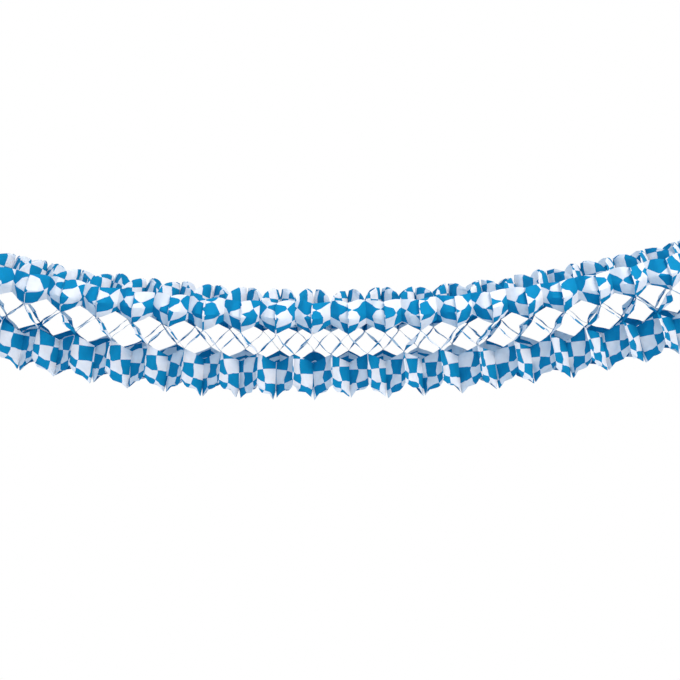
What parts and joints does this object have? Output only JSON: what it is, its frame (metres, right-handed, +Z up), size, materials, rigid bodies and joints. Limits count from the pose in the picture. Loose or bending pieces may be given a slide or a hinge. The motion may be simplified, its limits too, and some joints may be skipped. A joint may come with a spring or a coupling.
{
  "type": "honeycomb tissue garland",
  "caption": "Hanging party garland of die-cut tissue paper sheets glued in a honeycomb, pulled open in a shallow sag, with a blue and white chequer print and stiff card ends.",
  "frame": {"origin": "centre of the left end card's hanging hole, on the card's outer face", "axes": "+X along the garland from its left end to its right end, -Y towards the viewer, +Z up, as it hangs"},
  "size_m": [1.0604, 0.128, 0.2241],
  "materials": {
    "tissue_paper": "matte",
    "end_card": "matte"
  },
  "bodies": {
    "root": {"tissue_sheet_01": "tissue_paper", "tissue_sheet_02": "tissue_paper", "tissue_sheet_03": "tissue_paper", "tissue_sheet_04": "tissue_paper", "tissue_sheet_05": "tissue_paper", "tissue_sheet_06": "tissue_paper", "tissue_sheet_07": "tissue_paper", "tissue_sheet_08": "tissue_paper", "tissue_sheet_09": "tissue_paper", "tissue_sheet_10": "tissue_paper", "tissue_sheet_11": "tissue_paper", "tissue_sheet_12": "tissue_paper", "tissue_sheet_13": "tissue_paper", "tissue_sheet_14": "tissue_paper", "tissue_sheet_15": "tissue_paper", "tissue_sheet_16": "tissue_paper", "tissue_sheet_17": "tissue_paper", "tissue_sheet_18": "tissue_paper", "tissue_sheet_19": "tissue_paper", "tissue_sheet_20": "tissue_paper", "tissue_sheet_21": "tissue_paper", "tissue_sheet_22": "tissue_paper", "tissue_sheet_23": "tissue_paper", "tissue_sheet_24": "tissue_paper", "tissue_sheet_25": "tissue_paper", "tissue_sheet_26": "tissue_paper", "tissue_sheet_27": "tissue_paper", "tissue_sheet_28": "tissue_paper", "tissue_sheet_29": "tissue_paper", "tissue_sheet_30": "tissue_paper", "tissue_sheet_31": "tissue_paper", "tissue_sheet_32": "tissue_paper", "tissue_sheet_33": "tissue_paper", "tissue_sheet_34": "tissue_paper", "tissue_sheet_35": "tissue_paper", "tissue_sheet_36": "tissue_paper", "tissue_sheet_37": "tissue_paper", "tissue_sheet_38": "tissue_paper", "tissue_sheet_39": "tissue_paper", "tissue_sheet_40": "tissue_paper", "tissue_sheet_41": "tissue_paper", "tissue_sheet_42": "tissue_paper", "tissue_sheet_43": "tissue_paper", "left_end_card": "end_card", "right_end_card": "end_card"}
  },
  "joints": []
}
